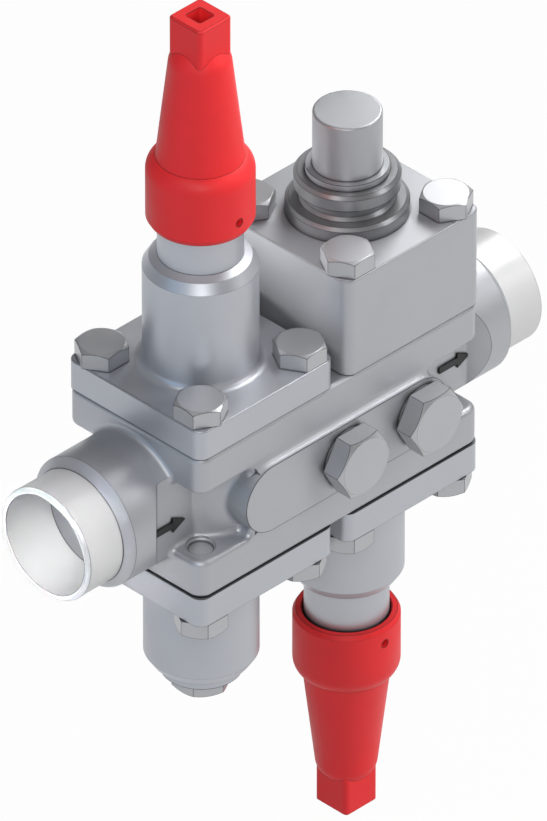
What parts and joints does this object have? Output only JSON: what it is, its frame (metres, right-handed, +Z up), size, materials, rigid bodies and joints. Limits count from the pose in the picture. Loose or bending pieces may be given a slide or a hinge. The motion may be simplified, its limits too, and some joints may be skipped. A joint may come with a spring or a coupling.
{
  "type": "welded-in valve station",
  "caption": "Weld-in valve station: a flanged steel housing with stop valves under seal caps, a filter, a magnet-driven control valve and side plugs, for a pipe line.",
  "frame": {"origin": "centre of the inlet weld face, on the pipe line", "axes": "+X along the flow, from the inlet weld face to the outlet's; +Z up, along the module axes; the side plugs face -Y"},
  "size_m": [0.2506, 0.0909, 0.4142],
  "materials": {
    "housing_coating": "satin coated casting",
    "cover_steel": "satin coated, machined edges",
    "bonnet_steel": "turned, satin",
    "stub_steel": "bright satin",
    "bolt_steel": "zinc plated",
    "cap_coating": "satin red coating",
    "adaptor_steel": "turned, satin",
    "sleeve_steel": "bright turned",
    "spindle_steel": "ground",
    "cone_steel": "turned",
    "seal_polymer": "matt",
    "gasket_fibre": "matt",
    "packing_graphite": "matt",
    "guide_brass": "turned",
    "magnet_dark": "sintered",
    "washer_copper": "annealed",
    "strainer_steel": "perforated sheet"
  },
  "bodies": {
    "root": {"control_adaptor": "adaptor_steel", "control_adaptor_seal": "gasket_fibre", "control_bearing_balls": "spindle_steel", "control_bearing_outer_race": "spindle_steel", "control_bolts": "bolt_steel", "control_cover": "cover_steel", "control_gasket": "gasket_fibre", "control_insert_seal": "seal_polymer", "control_magnet_sleeve": "sleeve_steel", "control_seat_insert": "cone_steel", "control_stem_bush": "guide_brass", "filter_bolts": "bolt_steel", "filter_cover": "cover_steel", "filter_drain_plug": "bolt_steel", "filter_drain_washer": "washer_copper", "filter_gasket": "gasket_fibre", "filter_spring": "spindle_steel", "filter_strainer": "strainer_steel", "filter_strainer_mesh": "strainer_steel", "housing": "housing_coating", "inlet_stop_bolts": "bolt_steel", "inlet_stop_bonnet": "bonnet_steel", "inlet_stop_gasket": "gasket_fibre", "inlet_stop_gland_nut": "guide_brass", "inlet_stop_packing": "packing_graphite", "inlet_stub": "stub_steel", "middle_plug_washer": "washer_copper", "middle_side_plug": "bolt_steel", "outlet_plug_washer": "washer_copper", "outlet_side_plug": "bolt_steel", "outlet_stop_bolts": "bolt_steel", "outlet_stop_bonnet": "bonnet_steel", "outlet_stop_gasket": "gasket_fibre", "outlet_stop_gland_nut": "guide_brass", "outlet_stop_packing": "packing_graphite", "outlet_stub": "stub_steel"},
    "inlet_stop_disc": {"inlet_stop_cone": "cone_steel", "inlet_stop_cone_seal": "seal_polymer", "inlet_stop_spindle_retainer": "cone_steel"},
    "inlet_stop_screw": {"inlet_stop_spindle": "spindle_steel"},
    "inlet_stop_cap_lift": {"inlet_stop_cap_gasket": "gasket_fibre"},
    "inlet_stop_cap": {"inlet_stop_seal_cap": "cap_coating"},
    "outlet_stop_disc": {"outlet_stop_cone": "cone_steel", "outlet_stop_cone_seal": "seal_polymer", "outlet_stop_spindle_retainer": "cone_steel"},
    "outlet_stop_screw": {"outlet_stop_spindle": "spindle_steel"},
    "outlet_stop_cap_lift": {"outlet_stop_cap_gasket": "gasket_fibre"},
    "outlet_stop_cap": {"outlet_stop_seal_cap": "cap_coating"},
    "control_rotor": {"control_stem": "spindle_steel", "control_magnet": "magnet_dark", "control_bearing_inner_race": "spindle_steel"},
    "control_piston": {"control_cone": "cone_steel", "control_cone_seal": "seal_polymer"}
  },
  "joints": [
    {"name": "inlet_stop_cone_lift", "type": "slide", "parent": "root", "child": "inlet_stop_disc", "axis": [0, 0, 1], "range_m": [0, 0.01]},
    {"name": "inlet_stop_spindle_turn", "type": "hinge", "parent": "inlet_stop_disc", "child": "inlet_stop_screw", "pos_m": [0.08505, 0, 0], "axis": [0, 0, 1], "range_deg": [0, 1800]},
    {"name": "inlet_stop_cap_rise", "type": "slide", "parent": "root", "child": "inlet_stop_cap_lift", "axis": [0, 0, 1], "range_m": [0, 0.012]},
    {"name": "inlet_stop_cap_turn", "type": "hinge", "parent": "inlet_stop_cap_lift", "child": "inlet_stop_cap", "pos_m": [0.08505, 0, 0], "axis": [0, 0, 1], "range_deg": [0, 2160]},
    {"name": "outlet_stop_cone_lift", "type": "slide", "parent": "root", "child": "outlet_stop_disc", "axis": [0, 0, -1], "range_m": [0, 0.01]},
    {"name": "outlet_stop_spindle_turn", "type": "hinge", "parent": "outlet_stop_disc", "child": "outlet_stop_screw", "pos_m": [0.16555, 0, 0], "axis": [0, 0, -1], "range_deg": [0, 1800]},
    {"name": "outlet_stop_cap_rise", "type": "slide", "parent": "root", "child": "outlet_stop_cap_lift", "axis": [0, 0, -1], "range_m": [0, 0.012]},
    {"name": "outlet_stop_cap_turn", "type": "hinge", "parent": "outlet_stop_cap_lift", "child": "outlet_stop_cap", "pos_m": [0.16555, 0, 0], "axis": [0, 0, -1], "range_deg": [0, 2160]},
    {"name": "control_rotor_turn", "type": "hinge", "parent": "root", "child": "control_rotor", "pos_m": [0.16555, 0, 0], "axis": [0, 0, 1], "range_deg": [0, 1440]},
    {"name": "control_cone_lift", "type": "slide", "parent": "root", "child": "control_piston", "axis": [0, 0, 1], "range_m": [0, 0.008]}
  ],
  "couplings": [
    {"joint": "inlet_stop_spindle_turn", "follows": "inlet_stop_cone_lift", "rad_per_m": 3141.6},
    {"joint": "inlet_stop_cap_turn", "follows": "inlet_stop_cap_rise", "rad_per_m": 3141.6},
    {"joint": "outlet_stop_spindle_turn", "follows": "outlet_stop_cone_lift", "rad_per_m": 3141.6},
    {"joint": "outlet_stop_cap_turn", "follows": "outlet_stop_cap_rise", "rad_per_m": 3141.6},
    {"joint": "control_rotor_turn", "follows": "control_cone_lift", "rad_per_m": 3141.6}
  ]
}
